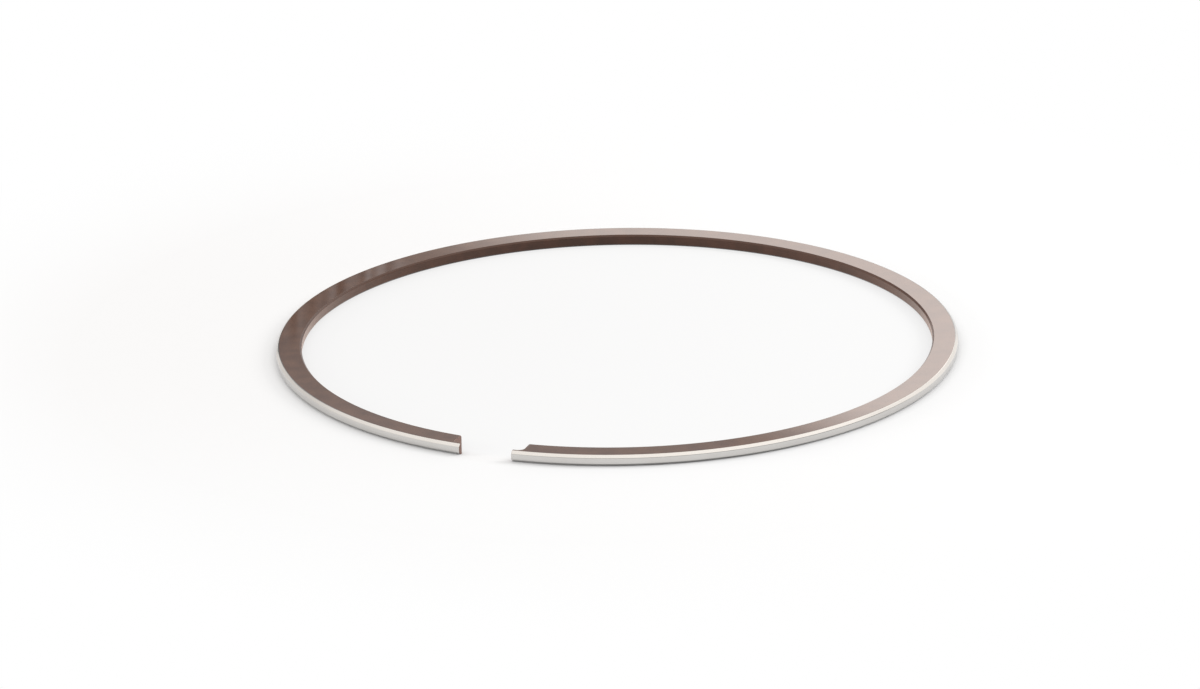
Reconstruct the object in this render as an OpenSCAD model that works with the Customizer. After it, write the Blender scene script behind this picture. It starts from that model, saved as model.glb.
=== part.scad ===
// Piston ring of the pinned two-stroke pattern, lying flat in its free, sprung-open state.
// One piece of steel: brown coat on the sides, back and ends, hard chrome on the running face.
// Millimetres, +Z up, gap towards -Y, lower side face on Z = 0.

/* [Ring] */
// Cylinder bore the ring is made for
bore_d = 72; // [60:0.5:84]
// Radial thickness, back face to running face
radial_t = 2.8; // [2.5:0.05:3.2]
// Axial height between the two side faces
axial_h = 1.2; // [1.1:0.01:1.5]

/* [Spring] */
// Opening between the ends when free, at half the radial thickness
free_gap = 5.8; // [4.5:0.1:9]
// Clearance left between the ends in the bore
fitted_gap = 0.35; // [0.2:0.05:0.6]

/* [Section edges] */
// Chamfer on both edges of the running face
face_chamfer = 0.29; // [0.2:0.01:0.34]
// Rise of the barrel crown at half height of the running face
face_crown = 0.012; // [0.006:0.001:0.02]
// Chamfer on both edges of the back face
back_chamfer = 0.25; // [0.15:0.01:0.32]

/* [Pin notch] */
// Length of the cut in each end for the locating pin
notch_l = 1.1; // [0.9:0.01:1.4]
// Radius in the corner of the cut
notch_r = 0.7; // [0.4:0.01:0.85]
// Thickness of the tongue left outside the notch
tongue_t = 0.6; // [0.45:0.01:0.9]

/* [Hidden] */
$fn = 180;
// Mean radius once closed to the bore
mean_r = (bore_d - radial_t) / 2;
// Share of the curvature the ring loses when it springs open
spring = (free_gap - fitted_gap) / (3 * PI * mean_r);
// Free mean radii, to the micron: flatter over the back half, tighter towards the ends
back_r = round(1000 * mean_r / (1 - spring * (1 + 2 / PI))) / 1000;
front_r = round(1000 * mean_r / (1 - spring * (1 - 2 / PI))) / 1000;
// Offset of the front arcs, which keeps the two radii tangent at the sides
shift = back_r - front_r;
// Sweep of each front arc from the side to its end
front_a = acos((free_gap / 2 - shift) / front_r);
half_t = radial_t / 2;
// Radius of the crown arc on the running face
crown_half = axial_h / 2 - face_chamfer;
crown_r = (crown_half * crown_half + face_crown * face_crown) / (2 * face_crown);
// How far the section blank stands past the crown before the arc trims it
crown_over = face_chamfer / 2.5;
// Back face and inner side of the tongue, from the centre of the front arc
back_x = front_r - half_t;
tongue_x = front_r + half_t - tongue_t;
// Middle of the ring from back to ends, set on the origin
mid_y = (back_r + half_t - (front_r + half_t) * sin(front_a)) / 2;

// True section of the ring at mean radius r
module section(r) {
    intersection() {
        polygon([
            [r - half_t + back_chamfer, 0],
            [r + half_t - face_chamfer, 0],
            [r + half_t + crown_over, face_chamfer + crown_over],
            [r + half_t + crown_over, axial_h - face_chamfer - crown_over],
            [r + half_t - face_chamfer, axial_h],
            [r - half_t + back_chamfer, axial_h],
            [r - half_t, axial_h - back_chamfer],
            [r - half_t, back_chamfer]
        ]);
        translate([r + half_t - crown_r, axial_h / 2])
            circle(r = crown_r);
    }
}

// Cut round the locating pin, open to the back face and to the gap
module pin_notch() {
    translate([0, 0, -1])
        linear_extrude(height = axial_h + 2)
            union() {
                translate([tongue_x - notch_r, notch_l - notch_r])
                    circle(r = notch_r);
                translate([back_x - 1, -2])
                    square([tongue_x - notch_r - back_x + 1, 2 + notch_l]);
                translate([back_x - 1, -2])
                    square([tongue_x - back_x + 1, 2 + notch_l - notch_r]);
            }
}

// One front arm, from the side round to its notched end
module front_arm() {
    translate([shift, 0, 0])
        difference() {
            mirror([0, 1, 0])
                rotate_extrude(angle = front_a)
                    section(front_r);
            rotate([0, 0, -front_a])
                pin_notch();
        }
}

module piston_ring() {
    color("#80695f")
        translate([0, -mid_y, 0])
            union() {
                rotate_extrude(angle = 180)
                    section(back_r);
                front_arm();
                mirror([1, 0, 0])
                    front_arm();
            }
}

piston_ring();
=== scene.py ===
import math
import bpy
from mathutils import Matrix, Vector


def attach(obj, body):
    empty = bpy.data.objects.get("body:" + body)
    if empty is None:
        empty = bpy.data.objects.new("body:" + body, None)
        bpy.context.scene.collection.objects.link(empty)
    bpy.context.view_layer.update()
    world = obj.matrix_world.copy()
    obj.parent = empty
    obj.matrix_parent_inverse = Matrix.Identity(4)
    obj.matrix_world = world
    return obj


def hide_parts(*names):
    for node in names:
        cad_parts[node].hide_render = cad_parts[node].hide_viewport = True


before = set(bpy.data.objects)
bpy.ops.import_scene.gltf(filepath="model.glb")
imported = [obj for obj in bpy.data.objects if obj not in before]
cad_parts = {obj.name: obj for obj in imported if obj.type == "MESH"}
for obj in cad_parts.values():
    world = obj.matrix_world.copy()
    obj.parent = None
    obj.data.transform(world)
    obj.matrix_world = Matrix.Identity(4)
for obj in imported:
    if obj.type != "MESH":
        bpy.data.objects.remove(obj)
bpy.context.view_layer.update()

# ring form, in millimetres

ringForm = {
    "boreD": 72.0, "radialT": 2.8, "axialH": 1.2,        # bore, thickness and height
    "freeGap": 5.8, "fittedGap": 0.35,                   # opening when free, clearance in the bore
    "faceChamfer": 0.29, "faceCrown": 0.012,             # running face
    "backChamfer": 0.18,                                 # inner edges
    "notchL": 1.1, "notchR": 0.7, "tongueT": 0.6,        # locating pin notch
    "faceEdge": 0.2, "backEdge": 0.05, "cutEdge": 0.025,    # rounds along the edges
    "cornerEdge": 0.15, "tipEdge": 0.03,                 # rounds at the notch corner and the tongue's tip
    "chamferFoot": 0.03,                                 # ease from a chamfer into the wall below it
    "coatTo": 0.0035,                                    # depth of the coat on the rounded outer edge
    "edgeFrom": 0.003, "edgeTo": 0.19,                   # depths between which the inner edges are dark
    "tipStep": 0.07, "notchStep": 0.08,                  # first step in from the tip, step past the notch
    "stepsBack": 200, "stepsArm": 96, "stepsTongue": 8, "stepsNotch": 14, "stepsTip": 3, "stepsCorner": 7,
}
slotOf = {"side": 0, "face": 1, "back": 2, "cut": 3, "edge": 4}    # places of the finishes on the ring

halfT = ringForm["radialT"] / 2
height = ringForm["axialH"]
meanR = (ringForm["boreD"] - ringForm["radialT"]) / 2
spring = (ringForm["freeGap"] - ringForm["fittedGap"]) / (3 * math.pi * meanR)
backR = round(meanR / (1 - spring * (1 + 2 / math.pi)), 3)     # flatter back half
frontR = round(meanR / (1 - spring * (1 - 2 / math.pi)), 3)    # tighter arms
armShift = backR - frontR
armSweep = math.acos((ringForm["freeGap"] / 2 - armShift) / frontR)
midY = (backR + halfT - (frontR + halfT) * math.sin(armSweep)) / 2
crownHalf = height / 2 - ringForm["faceChamfer"]
crownR = (crownHalf ** 2 + ringForm["faceCrown"] ** 2) / (2 * ringForm["faceCrown"])
tongueX = frontR + halfT - ringForm["tongueT"]                 # inner side of the tongue
quarter = backR * math.pi / 2                                  # length along the ring from the back to a side


def chamfered(u, cham, ease, flat):  # chamfer with a rounded top edge, eased into the wall below it
    if u < ease * (1 - math.cos(math.pi / 4)):
        return -cham - ease * math.tan(math.pi / 8) + ease * math.sin(math.acos(1 - u / ease))
    slope, foot = u - cham, ringForm["chamferFoot"]
    near = max(foot - abs(slope - flat), 0) / foot
    return min(slope, flat) - near * near * foot / 4


def faceOffset(z):                   # running face: chamfers with a barrel crown between
    u = min(z, height - z)
    crown = math.sqrt(crownR ** 2 - (height / 2 - u) ** 2) - crownR
    return chamfered(u, ringForm["faceChamfer"], ringForm["faceEdge"], crown)


def backOffset(z):                   # back face: chamfers with a straight wall between
    return -chamfered(min(z, height - z), ringForm["backChamfer"], ringForm["backEdge"], 0.0)


def easedOffset(z, ease):            # plain rounded edge of the cut at top and bottom
    u = min(z, height - z)
    return 0.0 if u >= ease else ease - math.sqrt(max(ease ** 2 - (ease - u) ** 2, 0))


# depths of the mesh levels, closer together where an edge bends
upper = [0, 0.0008, 0.0026, 0.006, 0.0105, 0.0146, 0.02, 0.0268, 0.0362, 0.0468,
         0.0586, 0.0714, 0.0853, 0.1, 0.1316, 0.152, 0.168, 0.18, 0.192, 0.21,
         0.24, 0.262, 0.276, 0.29, 0.304, 0.318, 0.36, 0.45, 0.53]
levels = upper + [height / 2] + [height - u for u in reversed(upper)]


def armStation(theta, side):         # theta from the end, into the arm
    ang = theta - armSweep
    return Vector((side * armShift, 0)), frontR, Vector((side * math.cos(ang), math.sin(ang)))


def stationList():                   # centre, radius, direction and place along the ring, right end to left
    notchEnd = ringForm["notchL"] + ringForm["cornerEdge"] + ringForm["notchStep"]
    tongueTop = math.asin(notchEnd / (frontR - halfT))
    first = ringForm["tipStep"] / (frontR + halfT)
    arm = []
    for low, high, steps in ((first, tongueTop, ringForm["stepsTongue"]),
                             (tongueTop, armSweep, ringForm["stepsArm"])):
        arm += [low + (high - low) * i / steps for i in range(steps)]
    right = [armStation(t, 1) + (-frontR * (armSweep - t) - quarter,) for t in arm]
    back = []
    for i in range(ringForm["stepsBack"] + 1):
        ang = math.pi * i / ringForm["stepsBack"]
        normal = Vector((math.cos(ang), math.sin(ang)))
        back.append((Vector((0, 0)), backR, normal, backR * (ang - math.pi / 2)))
    left = [armStation(t, -1) + (frontR * (armSweep - t) + quarter,) for t in reversed(arm)]
    return right + back + left


stations = stationList()
tongueSteps = ringForm["stepsTongue"]


def blunt(corner, inward, d, count):     # points that round a corner, from its X side to its Y side
    a, b = Vector((inward * d, 0)), Vector((0, d))
    steps = [i / (count - 1) for i in range(count)]
    return [corner + a * (1 - t) ** 2 + b * t ** 2 for t in steps]


def endOutline(z, side):             # from the running face round the tip, notch and wall to the back face
    cut = easedOffset(z, ringForm["cutEdge"])
    faceX = frontR + halfT + faceOffset(z)
    backX = frontR - halfT + backOffset(z)
    rho = ringForm["notchR"] + cut
    bend = Vector((tongueX - ringForm["notchR"], ringForm["notchL"] - ringForm["notchR"]))
    tip = Vector((math.sqrt(faceX ** 2 - cut ** 2), cut))
    pts = list(reversed(blunt(tip, -1, ringForm["tipEdge"], ringForm["stepsTip"])))
    pts += blunt(Vector((tongueX + cut, cut)), 1, ringForm["tipEdge"], ringForm["stepsTip"])
    for i in range(ringForm["stepsNotch"] + 1):
        beta = math.pi / 2 * i / ringForm["stepsNotch"]
        pts.append(bend + Vector((math.cos(beta), math.sin(beta))) * rho)
    wallY = ringForm["notchL"] + cut
    wall = Vector((math.sqrt(backX ** 2 - wallY ** 2), wallY))
    pts += blunt(wall, 1, ringForm["cornerEdge"], ringForm["stepsCorner"])
    onBack = ringForm["stepsCorner"] // 2            # the last points of the corner belong to the back face
    kinds = ["face"] + ["cut"] * (len(pts) - 1 - onBack) + ["back"] * onBack
    turn = Matrix.Rotation(-armSweep, 2)
    out = []
    for p, kind in zip(pts, kinds):
        q = turn @ p
        along = frontR * (armSweep - p.y / frontR) + quarter
        out.append((Vector((side * (q.x + armShift), q.y)), kind, Vector((-side * along, p.x - frontR))))
    return out


def outlineAt(z):                    # closed outline of a level: running face, left end, back face, right end
    fo, bo = faceOffset(z), backOffset(z)
    ring = []
    for centre, radius, normal, along in stations:
        ring.append((centre + normal * (radius + halfT + fo), "face", Vector((along, halfT + fo))))
    ring += endOutline(z, -1)
    for centre, radius, normal, along in reversed(stations[tongueSteps:-tongueSteps]):
        ring.append((centre + normal * (radius - halfT + bo), "back", Vector((along, bo - halfT))))
    ring += list(reversed(endOutline(z, 1)))
    return ring


def wallSlot(pair, depth):           # finish of one wall face, from its two outlines' kinds and its depth
    if "cut" in pair:
        return slotOf["cut"]
    if "back" in pair:
        if depth < ringForm["edgeFrom"]:
            return slotOf["side"]
        return slotOf["edge" if depth < ringForm["edgeTo"] else "back"]
    return slotOf["side" if depth < ringForm["coatTo"] else "face"]


def buildRing():
    mm = 0.001
    verts, coords, faces, slots = [], [], [], []
    outlines = [outlineAt(z) for z in levels]
    count = len(outlines[0])
    kinds = [p[1] for p in outlines[0]]
    for z, outline in zip(levels, outlines):
        for p, kind, local in outline:
            verts.append((p.x * mm, (p.y - midY) * mm, z * mm))
            coords.append((local.x, local.y, z))
    for k in range(len(levels) - 1):
        a, b = k * count, (k + 1) * count
        depth = max(min(z, height - z) for z in levels[k:k + 2])
        for i in range(count):
            j = (i + 1) % count
            faces.append((a + i, a + j, b + j, b + i))
            slots.append(wallSlot({kinds[i], kinds[j]}, depth))
    total = len(stations)
    endCount = len(endOutline(height / 2, 1))
    inner = total + endCount                       # first back-face station, at the left end
    innerTotal = total - 2 * tongueSteps
    for base, flip in (((len(levels) - 1) * count, False), (0, True)):
        caps = []
        for i in range(innerTotal - 1):            # side faces, one quad a step
            o = tongueSteps + i
            n = inner + innerTotal - 1 - i
            caps.append([o, o + 1, n - 1, n])
        leftEnd = list(range(total - tongueSteps - 1, inner + 1))
        rightEnd = list(range(inner + innerTotal - 1, count)) + list(range(0, tongueSteps + 1))
        caps += [leftEnd, rightEnd]
        for cap in caps:
            cap = [base + i for i in cap]
            faces.append(tuple(reversed(cap)) if flip else tuple(cap))
            slots.append(slotOf["side"])
    mesh = bpy.data.meshes.new("pistonRingForm")
    mesh.from_pydata(verts, [], faces)
    mesh.update()
    mark = mesh.attributes.new("ringCoord", "FLOAT_VECTOR", "POINT")    # along, outward, up, in millimetres
    mark.data.foreach_set("vector", [c for v in coords for c in v])
    mesh.polygons.foreach_set("material_index", slots)
    mesh.polygons.foreach_set("use_smooth", [True] * len(slots))
    ring = bpy.data.objects.new("pistonRing", mesh)
    bpy.context.scene.collection.objects.link(ring)
    even = ring.modifiers.new("evenNormals", "WEIGHTED_NORMAL")
    even.mode = "FACE_AREA"
    even.weight = 100
    return ring


ringPiece = buildRing()
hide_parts("piston_ring")
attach(ringPiece, "root")
print("ring built", len(ringPiece.data.vertices), "points")

# nodes that the finishes and the stage share


def ranged(nodes, links, source, span, low, high, soft=False):    # maps a span of the source to low and high
    node = nodes.new("ShaderNodeMapRange")
    node.interpolation_type = "SMOOTHSTEP" if soft else "LINEAR"
    for name, value in zip(("From Min", "From Max", "To Min", "To Max"), (*span, low, high)):
        node.inputs[name].default_value = value
    links.new(source, node.inputs["Value"])
    return node.outputs["Result"]


def combined(nodes, links, operation, one, two):
    node = nodes.new("ShaderNodeMath")
    node.operation = operation
    links.new(one, node.inputs[0])
    links.new(two, node.inputs[1])
    return node.outputs["Value"]


def mixed(nodes, links, one, two, factor, kind="FLOAT", blend="MIX"):    # of sockets, plain values or colours
    node = nodes.new("ShaderNodeMix")
    node.data_type = kind
    node.blend_type = blend
    for name, source in (("A", one), ("B", two), ("Factor", factor)):
        if isinstance(source, bpy.types.NodeSocket):
            links.new(source, node.inputs[name])
        else:
            node.inputs[name].default_value = source
    return node.outputs["Result"]


# finishes

grain = {"lapDetail": 3.0, "lapRough": 0.6, "mottleDetail": 4.0, "mottleRough": 0.55,
         "noiseSpan": (0.3, 0.7),                # where most of a noise lies
         "bumpReach": 0.000002, "sheenRough": 0.45}


def makeNoiseGroup(name, inputs, output, detail, rough):    # group with a noise laid along the ring
    group = bpy.data.node_groups.new(name, "ShaderNodeTree")
    for socket, value in inputs.items():
        made = group.interface.new_socket(name=socket, in_out="INPUT", socket_type="NodeSocketFloat")
        made.default_value = value
    group.interface.new_socket(name=output, in_out="OUTPUT", socket_type="NodeSocketFloat")
    nodes = group.nodes
    where = nodes.new("ShaderNodeAttribute")
    where.attribute_name = "ringCoord"
    noise = nodes.new("ShaderNodeTexNoise")
    noise.inputs["Detail"].default_value = detail
    noise.inputs["Roughness"].default_value = rough
    return group, nodes.new("NodeGroupInput"), nodes.new("NodeGroupOutput"), where, noise


def makeLapGroup():                  # fine lines that run round the ring
    group, inn, out, where, noise = makeNoiseGroup("lapLines", {"Across": 60.0, "Along": 0.35}, "Lines",
                                                   grain["lapDetail"], grain["lapRough"])
    nodes, links = group.nodes, group.links
    scale = nodes.new("ShaderNodeCombineXYZ")
    for axis, way in (("X", "Along"), ("Y", "Across"), ("Z", "Across")):
        links.new(inn.outputs[way], scale.inputs[axis])
    stretch = nodes.new("ShaderNodeVectorMath")
    stretch.operation = "MULTIPLY"
    links.new(where.outputs["Vector"], stretch.inputs[0])
    links.new(scale.outputs["Vector"], stretch.inputs[1])
    noise.inputs["Scale"].default_value = 1.0
    links.new(stretch.outputs["Vector"], noise.inputs["Vector"])
    links.new(noise.outputs["Fac"], out.inputs["Lines"])
    return group


def makeMottleGroup():               # slow patches of lighter and darker finish
    group, inn, out, where, noise = makeNoiseGroup("slowMottle", {"Size": 0.4}, "Patch",
                                                   grain["mottleDetail"], grain["mottleRough"])
    nodes, links = group.nodes, group.links
    links.new(where.outputs["Vector"], noise.inputs["Vector"])
    links.new(inn.outputs["Size"], noise.inputs["Scale"])
    links.new(ranged(nodes, links, noise.outputs["Fac"], grain["noiseSpan"], 0.0, 1.0), out.inputs["Patch"])
    return group


lapLines = makeLapGroup()
slowMottle = makeMottleGroup()


def makeFinish(name, values):
    mat = bpy.data.materials.new(name)
    mat.use_nodes = True
    nodes, links = mat.node_tree.nodes, mat.node_tree.links
    shader = nodes["Principled BSDF"]
    shader.inputs["Metallic"].default_value = values["metallic"]
    shader.inputs["IOR"].default_value = values["ior"]
    if "sheen" in values:            # fine-grained coat, paler at a low angle
        shader.inputs["Sheen Weight"].default_value = values["sheen"]
        shader.inputs["Sheen Roughness"].default_value = grain["sheenRough"]
        shader.inputs["Sheen Tint"].default_value = values["sheenTone"] + (1,)
    mottle = nodes.new("ShaderNodeGroup")
    mottle.node_tree = slowMottle
    mottle.inputs["Size"].default_value = values["patchSize"]
    lap = nodes.new("ShaderNodeGroup")
    lap.node_tree = lapLines
    lap.inputs["Across"].default_value = values["lineAcross"]
    lap.inputs["Along"].default_value = values["lineAlong"]
    lines = lap.outputs["Lines"]
    tone = mixed(nodes, links, values["dark"] + (1,), values["light"] + (1,), mottle.outputs["Patch"], "RGBA")
    streak = mixed(nodes, links, tone, lines, values["lineTint"], "RGBA", "MULTIPLY")
    links.new(streak, shader.inputs["Base Color"])
    links.new(ranged(nodes, links, lines, grain["noiseSpan"], *values["rough"]), shader.inputs["Roughness"])
    bump = nodes.new("ShaderNodeBump")
    bump.inputs["Strength"].default_value = values["lineDepth"]
    bump.inputs["Distance"].default_value = grain["bumpReach"]
    links.new(lines, bump.inputs["Height"])
    links.new(bump.outputs["Normal"], shader.inputs["Normal"])
    return mat


brownSide = {"dark": (0.096, 0.057, 0.044), "light": (0.133, 0.077, 0.056), "metallic": 0.0, "ior": 1.8,
             "patchSize": 0.6, "lineAcross": 26.0, "lineAlong": 0.3, "lineTint": 0.12,
             "rough": (0.03, 0.055), "lineDepth": 0.1}
chromeFace = {"dark": (0.624, 0.608, 0.586), "light": (0.654, 0.638, 0.617), "metallic": 1.0, "ior": 1.5,
              "patchSize": 0.25, "lineAcross": 34.0, "lineAlong": 0.2, "lineTint": 0.05,
              "rough": (0.12, 0.2), "lineDepth": 0.12}
brownBack = {"dark": (0.058, 0.028, 0.018), "light": (0.094, 0.041, 0.026), "metallic": 0.0, "ior": 1.33,
             "sheen": 0.7, "sheenTone": (1.0, 0.76, 0.66),
             "patchSize": 0.5, "lineAcross": 18.0, "lineAlong": 0.25, "lineTint": 0.2,
             "rough": (0.2, 0.3), "lineDepth": 0.25}
cutEnd = {"dark": (0.2, 0.112, 0.09), "light": (0.25, 0.15, 0.122), "metallic": 0.0, "ior": 1.33,
          "patchSize": 1.2, "lineAcross": 20.0, "lineAlong": 8.0, "lineTint": 0.2,
          "rough": (0.3, 0.42), "lineDepth": 0.2}
brownEdge = {"dark": (0.07, 0.034, 0.023), "light": (0.088, 0.043, 0.029), "metallic": 0.0, "ior": 1.36,
             "patchSize": 0.5, "lineAcross": 18.0, "lineAlong": 0.25, "lineTint": 0.2,
             "rough": (0.2, 0.3), "lineDepth": 0.2}
ringFinishes = {"brownSide": brownSide, "chromeFace": chromeFace, "brownBack": brownBack,
                "cutEnd": cutEnd, "brownEdge": brownEdge}    # in the order of slotOf
for finishName, values in ringFinishes.items():
    ringPiece.data.materials.append(makeFinish(finishName, values))
print("finishes made")

# floor, backdrop and lights, in metres
# the view frame has X to the right of the picture and Y away from the eye

stage = {
    "viewTurn": 23.107, "floorSize": 1.6, "floorRough": 0.9, "floorShine": 0.1,
    "floorTone": (0.645, 0.665, 0.688), "floorBounce": (0.4, 0.4, 0.4),
    # painted shade: the dim table tone, laid round a place behind on the left, darkens the table there
    "floorPaintedShade": (0.618, 0.63, 0.646), "paintedShadePlace": (-0.036, 0.01), "dimSpan": (0.012, 0.068),
    "insideSpan": (0.0345, 0.0365), "paintedLightInside": 0.72, "paintedLightLevel": 0.95,    # painted light: white glow that lightens the ring's shadow inside the ring
    "footSpan": (0.0366, 0.0382), "paintedLightFoot": 0.04, "paintedLightNear": 0.38,       # painted light: white glow that lightens the ring's shadow just outside it
    "fadeSpan": (0.0375, 0.09),                                               # out to plain white
}
viewFrame = Matrix.Rotation(math.radians(stage["viewTurn"]), 4, "Z")


def makeSheet(name, width, rise):    # flat sheet in its own X and Y, with a material to fill in
    mesh = bpy.data.meshes.new(name)
    corners = [(width[0], rise[0], 0), (width[1], rise[0], 0), (width[1], rise[1], 0), (width[0], rise[1], 0)]
    mesh.from_pydata(corners, [], [(0, 1, 2, 3)])
    sheet = bpy.data.objects.new(name, mesh)
    bpy.context.scene.collection.objects.link(sheet)
    mat = bpy.data.materials.new(name)
    mat.use_nodes = True
    mesh.materials.append(mat)
    return sheet, mat.node_tree.nodes, mat.node_tree.links


def makeFloor():                     # pale table that turns to plain white further out; painted light, a white glow, lightens the ring's shadow inside and just outside the ring, and painted shade darkens the table behind on the left
    extent = (-stage["floorSize"] / 2, stage["floorSize"] / 2)
    floor, nodes, links = makeSheet("paleTable", extent, extent)
    shader = nodes["Principled BSDF"]
    shader.inputs["Roughness"].default_value = stage["floorRough"]
    shader.inputs["Specular IOR Level"].default_value = stage["floorShine"]
    where = nodes.new("ShaderNodeTexCoord").outputs["Object"]
    length = nodes.new("ShaderNodeVectorMath")
    length.operation = "LENGTH"
    links.new(where, length.inputs[0])
    reach = length.outputs["Value"]
    away = nodes.new("ShaderNodeVectorMath")       # painted shade: the table's colour is a little darker behind on the left
    away.operation = "DISTANCE"
    away.inputs[1].default_value = viewFrame @ Vector(stage["paintedShadePlace"] + (0,))
    links.new(where, away.inputs[0])
    path = nodes.new("ShaderNodeLightPath")
    seen = combined(nodes, links, "MAXIMUM", path.outputs["Is Camera Ray"], path.outputs["Is Glossy Ray"])
    # painted shade: darker table colour near the place behind on the left
    dim = ranged(nodes, links, away.outputs["Value"], stage["dimSpan"], 0.0, 1.0, True)
    pale = mixed(nodes, links, stage["floorPaintedShade"] + (1,), stage["floorTone"] + (1,), dim, "RGBA")
    tone = mixed(nodes, links, stage["floorBounce"] + (1,), pale, seen, "RGBA")
    links.new(tone, shader.inputs["Base Color"])
    # painted light: shares of white glow that lighten the ring's shadow inside and just outside the ring
    inside = ranged(nodes, links, reach, stage["insideSpan"], stage["paintedLightInside"], 0.0, True)
    near = ranged(nodes, links, reach, stage["footSpan"], stage["paintedLightFoot"], stage["paintedLightNear"], True)
    outside = ranged(nodes, links, reach, stage["fadeSpan"], 0.0, 1.0, True)
    share = combined(nodes, links, "MAXIMUM", inside, combined(nodes, links, "MAXIMUM", near, outside))
    white = nodes.new("ShaderNodeEmission")
    # painted light: strength of the white glow, a little lower inside the ring
    level = ranged(nodes, links, reach, stage["insideSpan"], stage["paintedLightLevel"], 1.0, True)
    links.new(level, white.inputs["Strength"])
    mix = nodes.new("ShaderNodeMixShader")
    links.new(combined(nodes, links, "MULTIPLY", seen, share), mix.inputs["Fac"])
    links.new(shader.outputs["BSDF"], mix.inputs[1])
    links.new(white.outputs["Emission"], mix.inputs[2])
    links.new(mix.outputs["Shader"], nodes["Material Output"].inputs["Surface"])


room = {"top": (1.28, 1.54), "topSpan": (-0.7, 0.7),         # levels overhead, left to right
        "low": (0.95, 1.32), "lowSpan": (-0.5, 0.7),         # levels low down, left to right
        "climb": (0.3, 0.75),                                # heights between low and overhead
        "eyeSide": 0.05, "eyeSpan": (0.0, 0.6), "eyeTurn": 38.0,    # dark low down on the eye's side
        "tone": (1.0, 0.965, 0.93)}


def makeRoom():                      # soft light tent, plain white where the eye sees it
    world = bpy.data.worlds.new("softRoom")
    bpy.context.scene.world = world
    world.use_nodes = True
    nodes, links = world.node_tree.nodes, world.node_tree.links
    back = nodes["Background"]
    back.inputs["Color"].default_value = room["tone"] + (1,)
    where = nodes.new("ShaderNodeTexCoord").outputs["Generated"]
    split = nodes.new("ShaderNodeSeparateXYZ")
    links.new(where, split.inputs["Vector"])
    toRight = viewFrame @ Vector((1, 0, 0))
    toEye = viewFrame @ Vector((0, -1, 0))
    sides = []
    for axis in (toRight, Matrix.Rotation(math.radians(room["eyeTurn"]), 3, "Z") @ toEye):
        dot = nodes.new("ShaderNodeVectorMath")
        dot.operation = "DOT_PRODUCT"
        dot.inputs[1].default_value = axis
        links.new(where, dot.inputs[0])
        sides.append(dot.outputs["Value"])
    across = ranged(nodes, links, sides[0], room["lowSpan"], *room["low"])
    near = ranged(nodes, links, sides[1], room["eyeSpan"], 1.0, room["eyeSide"], True)
    low = combined(nodes, links, "MULTIPLY", across, near)
    top = ranged(nodes, links, sides[0], room["topSpan"], *room["top"])
    climb = ranged(nodes, links, split.outputs["Z"], room["climb"], 0.0, 1.0, True)
    level = mixed(nodes, links, low, top, climb)
    cameraRay = nodes.new("ShaderNodeLightPath").outputs["Is Camera Ray"]
    links.new(mixed(nodes, links, level, 1.0, cameraRay), back.inputs["Strength"])


def makeCard(name, width, rise, place, tone):     # glowing card that the eye doesn't see, with its X and Y
    card, nodes, links = makeSheet(name, width, rise)
    card.matrix_world = place
    nodes.remove(nodes["Principled BSDF"])
    glow = nodes.new("ShaderNodeEmission")
    glow.inputs["Color"].default_value = tone + (1,)
    links.new(glow.outputs["Emission"], nodes["Material Output"].inputs["Surface"])
    split = nodes.new("ShaderNodeSeparateXYZ")
    links.new(nodes.new("ShaderNodeTexCoord").outputs["Object"], split.inputs["Vector"])
    card.visible_camera = False
    card.visible_shadow = False
    card.visible_transmission = False
    return card, nodes, links, glow, split.outputs["X"], split.outputs["Y"]


def upright(x, y, z, lean):          # a card frame that stands across the view, turned in its own plane
    stand = Matrix.Rotation(math.radians(90), 4, "X") @ Matrix.Rotation(math.radians(lean), 4, "Z")
    return viewFrame @ Matrix.Translation((x, y, z)) @ stand


panel = {"corner": (0.0024, 0.17, 0.0618), "slope": 31.9, "reach": (-0.12, 0.11), "drop": 0.036,
         "strength": 2.1, "dim": 0.75, "dimSpan": (-0.02, 0.035),     # weaker towards its left end
         "rim": 0.2, "edge": (0.006, -0.009), "tone": (1.0, 0.935, 0.9)}


def makePanel():                     # bright panel behind on the right, with a sloping soft edge
    place = upright(*panel["corner"], panel["slope"])
    rise = (-panel["drop"], panel["edge"][0])
    nodes, links, glow, x, y = makeCard("rightPanel", panel["reach"], rise, place, panel["tone"])[1:]
    along = ranged(nodes, links, x, panel["dimSpan"], panel["dim"] * panel["strength"], panel["strength"])
    down = ranged(nodes, links, y, panel["edge"], panel["rim"], 1.0, True)
    links.new(combined(nodes, links, "MULTIPLY", along, down), glow.inputs["Strength"])


flag = {"width": (-0.12, 0.1), "rise": (0.001, 0.12), "behind": 0.2, "tone": (0.94, 0.97, 1.0),
        "low": (0.15, 0.7), "lift": (-0.037, -0.012),        # levels below, left to right
        "high": 0.4, "highSpan": (0.067, 0.083),             # level above
        "folds": 800.0, "foldDetail": 1.0, "foldDepth": 1.0,    # streaks, in a narrow strip
        "foldStart": (-0.048, -0.0445), "foldEnd": (-0.031, -0.025), "foldTop": (0.069, 0.0735),
        "leftWidth": (-0.2, -0.05), "leftRise": (0.1, 0.22), "leftBehind": 0.195}


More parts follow.
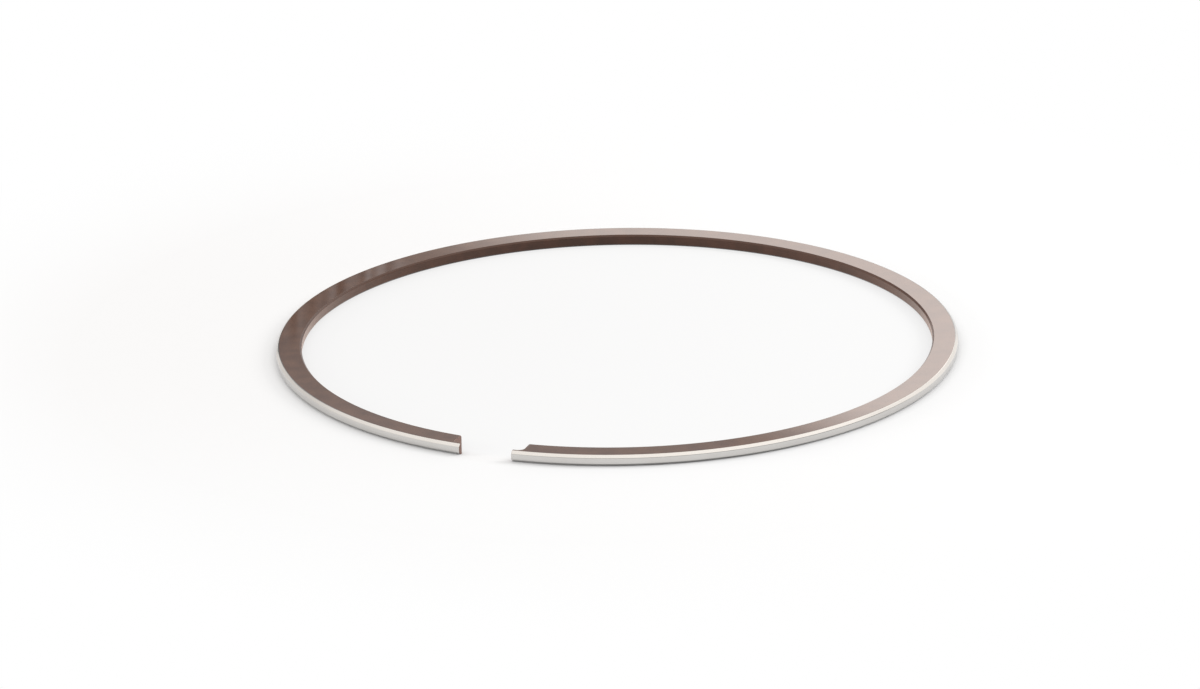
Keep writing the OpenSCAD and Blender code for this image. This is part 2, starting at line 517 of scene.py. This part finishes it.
def makeFlags():                     # dim cards behind, seen only in the finish
    card, nodes, links, glow, x, y = makeCard("darkFlag", flag["width"], flag["rise"],
                                              upright(0, flag["behind"], 0, 0), flag["tone"])
    low = ranged(nodes, links, x, flag["lift"], *flag["low"])
    level = mixed(nodes, links, low, flag["high"], ranged(nodes, links, y, flag["highSpan"], 0.0, 1.0))
    fold = nodes.new("ShaderNodeTexNoise")
    fold.noise_dimensions = "1D"
    fold.inputs["Scale"].default_value = flag["folds"]
    fold.inputs["Detail"].default_value = flag["foldDetail"]
    links.new(x, fold.inputs["W"])
    swing = ranged(nodes, links, fold.outputs["Fac"], grain["noiseSpan"],
                   1 - flag["foldDepth"], 1 + flag["foldDepth"])
    fade = combined(nodes, links, "MAXIMUM", ranged(nodes, links, x, flag["foldEnd"], 0.0, 1.0),
                    ranged(nodes, links, y, flag["foldTop"], 0.0, 1.0))
    start = ranged(nodes, links, x, flag["foldStart"], 1.0, 0.0)
    depth = mixed(nodes, links, swing, 1.0, combined(nodes, links, "MAXIMUM", fade, start))
    links.new(combined(nodes, links, "MULTIPLY", level, depth), glow.inputs["Strength"])
    side, nodes, links, glow = makeCard("leftFlag", flag["leftWidth"], flag["leftRise"],
                                        upright(0, flag["leftBehind"], 0, 0), flag["tone"])[:4]
    glow.inputs["Strength"].default_value = flag["high"]
    for dimCard in (card, side):
        dimCard.visible_diffuse = False


lamps = {"rightLamp": {"place": (0.38, 0.03, 0.22), "size": 0.16, "power": 1.05, "tone": (1.0, 0.96, 0.92)},
         "leftLamp": {"place": (-0.42, 0.0, 0.08), "size": 0.16, "power": 0.75, "tone": (1.0, 0.96, 0.92)}}


def makeLamp(name, lamp):            # soft lamp at one side
    light = bpy.data.lights.new(name, "AREA")
    light.size = lamp["size"]
    light.energy = lamp["power"]
    light.color = lamp["tone"]
    obj = bpy.data.objects.new(name, light)
    place = viewFrame @ Vector(lamp["place"])
    obj.matrix_world = Matrix.Translation(place) @ place.to_track_quat("Z", "Y").to_matrix().to_4x4()
    obj.visible_glossy = False
    bpy.context.scene.collection.objects.link(obj)


makeFloor()
makeRoom()
for lampName, values in lamps.items():
    makeLamp(lampName, values)
makePanel()
makeFlags()
print("stage set")

# eye, from the photograph's own perspective

eyePlace = {"location": (0.4782362, -1.1258943, 0.4391588), "right": (0.9223446, 0.3858668, -0.0196778),
            "up": (-0.1132162, 0.3186155, 0.9410984), "lens": 360.0, "sensor": 36.0, "clip": (0.05, 20.0)}
eyeData = bpy.data.cameras.new("eye")
eyeData.sensor_fit = "HORIZONTAL"
eyeData.sensor_width = eyePlace["sensor"]
eyeData.lens = eyePlace["lens"]
eyeData.clip_start, eyeData.clip_end = eyePlace["clip"]
eye = bpy.data.objects.new("eye", eyeData)
right, up = Vector(eyePlace["right"]), Vector(eyePlace["up"])
facing = Matrix((right, up, right.cross(up))).transposed().to_4x4()
eye.matrix_world = Matrix.Translation(Vector(eyePlace["location"])) @ facing
bpy.context.scene.collection.objects.link(eye)
bpy.context.scene.camera = eye
bpy.context.scene.view_settings.view_transform = "Standard"
print("eye placed")
